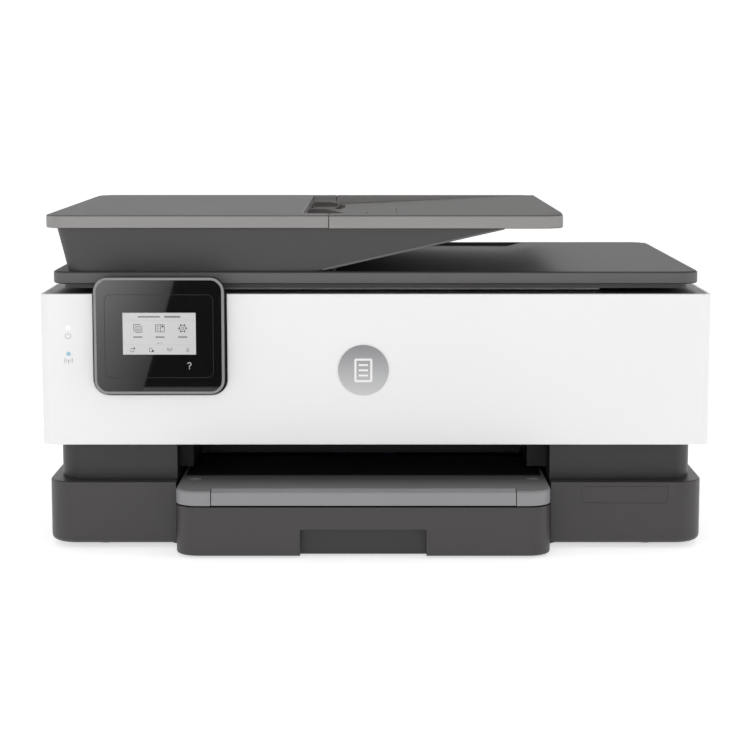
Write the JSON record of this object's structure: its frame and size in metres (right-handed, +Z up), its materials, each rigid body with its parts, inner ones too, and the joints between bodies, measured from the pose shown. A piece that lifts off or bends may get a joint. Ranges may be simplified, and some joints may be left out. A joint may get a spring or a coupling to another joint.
{
  "type": "inkjet printer",
  "caption": "Desktop inkjet printer with a sheet tray under a white front door, a flatbed scanner lid, a sheet feeder on top and a tilting touch panel.",
  "frame": {"origin": "middle of the bounding box in X and Y, at the underside of the rubber feet", "axes": "+X to the right seen from the front, +Y to the rear, +Z up"},
  "size_m": [0.46, 0.341, 0.2316],
  "materials": {
    "white_shell": "fine satin moulded ABS",
    "charcoal_shell": "fine grained moulded ABS",
    "dark_shell": "grained moulded ABS",
    "feeder_grey": "fine grained moulded ABS",
    "rim_grey": "fine grained moulded ABS",
    "tray_grey": "fine grained moulded ABS",
    "black_plastic": "moulded ABS",
    "glass": "clear float glass",
    "panel_gloss": "black glass over a touch sensor",
    "display": "lit display",
    "satin_metal": "satin metal",
    "bezel": "satin silver paint",
    "steel": "zinc plated steel sheet",
    "supply_case": "coated case of the power supply",
    "rubber": "moulded rubber",
    "belt_rubber": "moulded rubber",
    "acetal": "natural acetal",
    "guide_blue": "coloured ABS",
    "board_green": "solder mask on glass epoxy",
    "lens": "lit clear polycarbonate",
    "white_pad": "white polystyrene sheet",
    "ink_black": "moulded polypropylene",
    "ink_cyan": "moulded polypropylene",
    "ink_magenta": "moulded polypropylene",
    "ink_yellow": "moulded polypropylene",
    "roller_grit": "grit coated steel"
  },
  "bodies": {
    "chassis": {"base_tub": "charcoal_shell", "waist_shell": "dark_shell", "left_side_panel": "white_shell", "right_side_panel": "white_shell", "rear_cover": "dark_shell", "rubber_feet": "rubber", "case_screws": "steel", "scanner_frame": "dark_shell", "scanner_glass": "glass", "scanner_pan": "black_plastic", "panel_bracket": "black_plastic", "lid_hinges": "black_plastic", "engine_frame": "steel", "platen": "black_plastic", "guide_rail": "steel", "guide_rods": "steel", "carriage_belt": "belt_rubber", "drive_motors": "steel", "service_station": "acetal", "main_board": "board_green", "power_supply": "supply_case", "power_inlet": "black_plastic", "rear_ports": "steel"},
    "scan_bar": {"scan_bar": "black_plastic"},
    "front_door": {"front_door": "white_shell", "badge": "satin_metal", "status_lights": "lens"},
    "control_panel": {"panel_bezel": "bezel", "panel_glass": "panel_gloss", "display_screen": "display"},
    "scanner_lid": {"scanner_lid": "dark_shell", "lid_backing": "white_pad", "adf_body": "dark_shell", "adf_input_tray": "rim_grey", "adf_belt": "belt_rubber"},
    "adf_cover": {"adf_cover": "feeder_grey"},
    "adf_guide_front": {"adf_guide_front": "dark_shell"},
    "adf_guide_rear": {"adf_guide_rear": "dark_shell"},
    "adf_turn_roller": {"adf_turn_roller": "rubber"},
    "adf_pick_roller": {"adf_pick_roller": "rubber"},
    "paper_tray": {"paper_tray": "charcoal_shell", "output_tray": "tray_grey"},
    "output_extension": {"output_extension": "tray_grey"},
    "width_guide_left": {"width_guide_left": "guide_blue"},
    "width_guide_right": {"width_guide_right": "guide_blue"},
    "length_guide": {"length_guide": "guide_blue"},
    "drive_pulley": {"drive_pulley": "acetal"},
    "idler_pulley": {"idler_pulley": "acetal"},
    "carriage": {"carriage": "black_plastic"},
    "cartridge_black": {"cartridge_black": "ink_black"},
    "cartridge_cyan": {"cartridge_cyan": "ink_cyan"},
    "cartridge_magenta": {"cartridge_magenta": "ink_magenta"},
    "cartridge_yellow": {"cartridge_yellow": "ink_yellow"},
    "feed_roller": {"feed_roller": "roller_grit"},
    "feed_pinion": {"feed_pinion": "acetal"},
    "exit_roller": {"exit_roller": "rubber"},
    "pick_arm": {"pick_arm": "black_plastic"},
    "pick_roller": {"pick_roller": "rubber"},
    "duplex_door": {"duplex_door": "dark_shell"},
    "power_button": {"power_button": "charcoal_shell"}
  },
  "joints": [
    {"name": "front_door_hinge", "type": "hinge", "parent": "chassis", "child": "front_door", "pos_m": [0, -0.1305, 0.076], "axis": [1, 0, 0], "range_deg": [0, 88]},
    {"name": "panel_tilt", "type": "hinge", "parent": "chassis", "child": "control_panel", "pos_m": [-0.1478, -0.1335, 0.1835], "axis": [-1, 0, 0], "range_deg": [0, 45]},
    {"name": "scanner_lid_hinge", "type": "hinge", "parent": "chassis", "child": "scanner_lid", "pos_m": [0, 0.164, 0.1804], "axis": [-1, 0, 0], "range_deg": [0, 75]},
    {"name": "adf_cover_hinge", "type": "hinge", "parent": "scanner_lid", "child": "adf_cover", "pos_m": [-0.222, 0, 0.224], "axis": [0, -1, 0], "range_deg": [0, 80]},
    {"name": "adf_guide_rear_slide", "type": "slide", "parent": "scanner_lid", "child": "adf_guide_rear", "axis": [0, 1, 0], "range_m": [-0.015, 0.055]},
    {"name": "adf_guide_front_slide", "type": "slide", "parent": "scanner_lid", "child": "adf_guide_front", "axis": [0, 1, 0], "range_m": [-0.055, 0.015]},
    {"name": "adf_turn_spin", "type": "hinge", "parent": "scanner_lid", "child": "adf_turn_roller", "pos_m": [-0.19, 0, 0.2075], "axis": [0, 1, 0], "continuous": true},
    {"name": "adf_pick_spin", "type": "hinge", "parent": "scanner_lid", "child": "adf_pick_roller", "pos_m": [-0.075, 0, 0.2165], "axis": [0, 1, 0], "continuous": true},
    {"name": "paper_tray_slide", "type": "slide", "parent": "chassis", "child": "paper_tray", "axis": [0, -1, 0], "range_m": [0, 0.24]},
    {"name": "output_extension_slide", "type": "slide", "parent": "paper_tray", "child": "output_extension", "axis": [0, -1, 0], "range_m": [0, 0.11]},
    {"name": "width_guide_left_slide", "type": "slide", "parent": "paper_tray", "child": "width_guide_left", "axis": [1, 0, 0], "range_m": [0, 0.05]},
    {"name": "width_guide_right_slide", "type": "slide", "parent": "paper_tray", "child": "width_guide_right", "axis": [1, 0, 0], "range_m": [-0.05, 0]},
    {"name": "length_guide_slide", "type": "slide", "parent": "paper_tray", "child": "length_guide", "axis": [0, -1, 0], "range_m": [0, 0.12]},
    {"name": "carriage_slide", "type": "slide", "parent": "chassis", "child": "carriage", "axis": [-1, 0, 0], "range_m": [0, 0.28]},
    {"name": "drive_pulley_spin", "type": "hinge", "parent": "chassis", "child": "drive_pulley", "pos_m": [0.19, 0.048, 0.125], "axis": [0, 1, 0], "continuous": true},
    {"name": "idler_pulley_spin", "type": "hinge", "parent": "chassis", "child": "idler_pulley", "pos_m": [-0.19, 0.048, 0.125], "axis": [0, 1, 0], "continuous": true},
    {"name": "cartridge_black_slide", "type": "slide", "parent": "carriage", "child": "cartridge_black", "axis": [0, -1, 0], "range_m": [0, 0.04]},
    {"name": "cartridge_cyan_slide", "type": "slide", "parent": "carriage", "child": "cartridge_cyan", "axis": [0, -1, 0], "range_m": [0, 0.04]},
    {"name": "cartridge_magenta_slide", "type": "slide", "parent": "carriage", "child": "cartridge_magenta", "axis": [0, -1, 0], "range_m": [0, 0.04]},
    {"name": "cartridge_yellow_slide", "type": "slide", "parent": "carriage", "child": "cartridge_yellow", "axis": [0, -1, 0], "range_m": [0, 0.04]},
    {"name": "feed_roller_spin", "type": "hinge", "parent": "chassis", "child": "feed_roller", "pos_m": [0, 0.045, 0.077], "axis": [1, 0, 0], "continuous": true},
    {"name": "feed_pinion_spin", "type": "hinge", "parent": "chassis", "child": "feed_pinion", "pos_m": [0, 0.0099, 0.077], "axis": [1, 0, 0], "continuous": true},
    {"name": "exit_roller_spin", "type": "hinge", "parent": "chassis", "child": "exit_roller", "pos_m": [0, -0.0252, 0.077], "axis": [1, 0, 0], "continuous": true},
    {"name": "pick_arm_pivot", "type": "hinge", "parent": "chassis", "child": "pick_arm", "pos_m": [0, 0.1345, 0.06], "axis": [1, 0, 0], "range_deg": [0, 15]},
    {"name": "pick_roller_spin", "type": "hinge", "parent": "pick_arm", "child": "pick_roller", "pos_m": [0, 0.0715, 0.046], "axis": [1, 0, 0], "continuous": true},
    {"name": "duplex_door_hinge", "type": "hinge", "parent": "chassis", "child": "duplex_door", "pos_m": [0, 0.1665, 0.055], "axis": [-1, 0, 0], "range_deg": [0, 75]},
    {"name": "power_button_press", "type": "slide", "parent": "chassis", "child": "power_button", "axis": [0, -1, 0], "range_m": [0, 0.0012], "stiffness_N_per_m": 400},
    {"name": "scan_bar_slide", "type": "slide", "parent": "chassis", "child": "scan_bar", "axis": [1, 0, 0], "range_m": [0, 0.318]}
  ],
  "couplings": [
    {"joint": "adf_guide_front_slide", "follows": "adf_guide_rear_slide", "ratio": -1},
    {"joint": "adf_pick_spin", "follows": "adf_turn_spin", "ratio": 1},
    {"joint": "width_guide_right_slide", "follows": "width_guide_left_slide", "ratio": -1},
    {"joint": "drive_pulley_spin", "follows": "carriage_slide", "rad_per_m": 133.33},
    {"joint": "idler_pulley_spin", "follows": "carriage_slide", "rad_per_m": 133.33},
    {"joint": "feed_pinion_spin", "follows": "feed_roller_spin", "ratio": -3.3333},
    {"joint": "exit_roller_spin", "follows": "feed_roller_spin", "ratio": 1}
  ]
}
